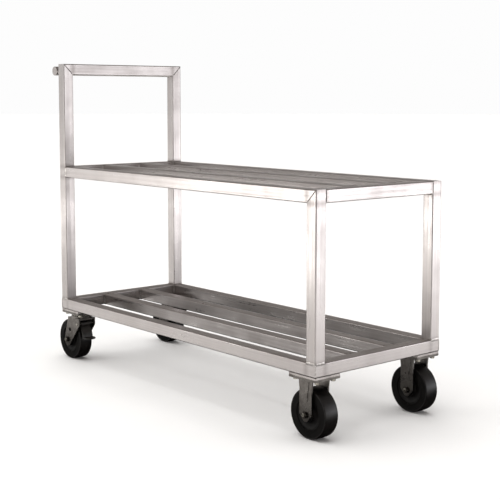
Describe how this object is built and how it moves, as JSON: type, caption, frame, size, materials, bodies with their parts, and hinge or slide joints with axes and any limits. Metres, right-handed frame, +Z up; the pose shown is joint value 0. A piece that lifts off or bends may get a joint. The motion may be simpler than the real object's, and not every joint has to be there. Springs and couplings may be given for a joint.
{
  "type": "platform truck",
  "caption": "Welded square-tube platform truck with two open bar decks, a raised handle frame, two rigid and two braked swivel casters.",
  "frame": {"origin": "on the floor, under the centre of the box that holds the whole truck", "axes": "+X along the truck towards its front (rigid casters), +Y towards its left side, +Z up"},
  "size_m": [1.4828, 0.543, 1.12],
  "materials": {
    "mill_aluminium": "mill finish, brushed along the tube",
    "weld_aluminium": "TIG weld bead, as laid",
    "zinc_sheet": "bright zinc plated pressed steel",
    "zinc_fastener": "zinc plated",
    "bearing_steel": "ground and greased",
    "tyre_rubber": "satin black moulded rubber",
    "core_polymer": "moulded black nylon",
    "brake_paint": "black coated pressed steel"
  },
  "bodies": {
    "frame": {"lower_side_rail_right": "mill_aluminium", "lower_side_rail_left": "mill_aluminium", "lower_end_rail_front": "mill_aluminium", "lower_end_rail_rear": "mill_aluminium", "lower_deck_bar_right": "mill_aluminium", "lower_deck_bar_left": "mill_aluminium", "front_post_right": "mill_aluminium", "front_post_left": "mill_aluminium", "handle_post_right": "mill_aluminium", "handle_post_left": "mill_aluminium", "upper_side_rail_right": "mill_aluminium", "upper_side_rail_left": "mill_aluminium", "upper_end_rail_front": "mill_aluminium", "upper_end_rail_rear": "mill_aluminium", "upper_deck_bar_right": "mill_aluminium", "upper_deck_bar_left": "mill_aluminium", "handle_top_rail": "mill_aluminium", "push_handle": "mill_aluminium", "frame_welds": "weld_aluminium", "caster_pads": "mill_aluminium", "caster_bolts": "zinc_fastener", "rigid_fork_right": "zinc_sheet", "rigid_fork_left": "zinc_sheet", "rigid_axle_bolts": "zinc_fastener", "rigid_axle_nuts": "zinc_fastener", "rigid_axle_sleeves": "zinc_fastener", "swivel_plate_right": "zinc_sheet", "swivel_plate_left": "zinc_sheet", "kingpins": "zinc_fastener", "kingpin_nuts": "zinc_fastener"},
    "swivel_right": {"swivel_fork_right": "zinc_sheet", "race_balls_right": "bearing_steel", "swivel_axle_bolt_right": "zinc_fastener", "swivel_axle_nut_right": "zinc_fastener", "swivel_axle_sleeve_right": "zinc_fastener", "brake_pin_right": "zinc_fastener"},
    "swivel_left": {"swivel_fork_left": "zinc_sheet", "race_balls_left": "bearing_steel", "swivel_axle_bolt_left": "zinc_fastener", "swivel_axle_nut_left": "zinc_fastener", "swivel_axle_sleeve_left": "zinc_fastener", "brake_pin_left": "zinc_fastener"},
    "brake_right": {"brake_pedal_right": "brake_paint"},
    "brake_left": {"brake_pedal_left": "brake_paint"},
    "wheel_front_right": {"tyre_front_right": "tyre_rubber", "wheel_core_front_right": "core_polymer", "wheel_rollers_front_right": "bearing_steel"},
    "wheel_front_left": {"tyre_front_left": "tyre_rubber", "wheel_core_front_left": "core_polymer", "wheel_rollers_front_left": "bearing_steel"},
    "wheel_rear_right": {"tyre_rear_right": "tyre_rubber", "wheel_core_rear_right": "core_polymer", "wheel_rollers_rear_right": "bearing_steel"},
    "wheel_rear_left": {"tyre_rear_left": "tyre_rubber", "wheel_core_rear_left": "core_polymer", "wheel_rollers_rear_left": "bearing_steel"}
  },
  "joints": [
    {"name": "swivel_right_turn", "type": "hinge", "parent": "frame", "child": "swivel_right", "pos_m": [-0.62075, -0.219, 0], "axis": [0, 0, 1], "continuous": true},
    {"name": "wheel_front_right_spin", "type": "hinge", "parent": "frame", "child": "wheel_front_right", "pos_m": [0.66525, -0.219, 0.0762], "axis": [0, 1, 0], "continuous": true},
    {"name": "wheel_rear_right_spin", "type": "hinge", "parent": "swivel_right", "child": "wheel_rear_right", "pos_m": [-0.66525, -0.219, 0.0762], "axis": [0, 1, 0], "continuous": true},
    {"name": "brake_right_press", "type": "hinge", "parent": "swivel_right", "child": "brake_right", "pos_m": [-0.59575, -0.219, 0.14272], "axis": [0, 1, 0], "range_deg": [0, 8]},
    {"name": "swivel_left_turn", "type": "hinge", "parent": "frame", "child": "swivel_left", "pos_m": [-0.62075, 0.219, 0], "axis": [0, 0, 1], "continuous": true},
    {"name": "wheel_front_left_spin", "type": "hinge", "parent": "frame", "child": "wheel_front_left", "pos_m": [0.66525, 0.219, 0.0762], "axis": [0, 1, 0], "continuous": true},
    {"name": "wheel_rear_left_spin", "type": "hinge", "parent": "swivel_left", "child": "wheel_rear_left", "pos_m": [-0.66525, 0.219, 0.0762], "axis": [0, 1, 0], "continuous": true},
    {"name": "brake_left_press", "type": "hinge", "parent": "swivel_left", "child": "brake_left", "pos_m": [-0.59575, 0.219, 0.14272], "axis": [0, 1, 0], "range_deg": [0, 8]}
  ]
}
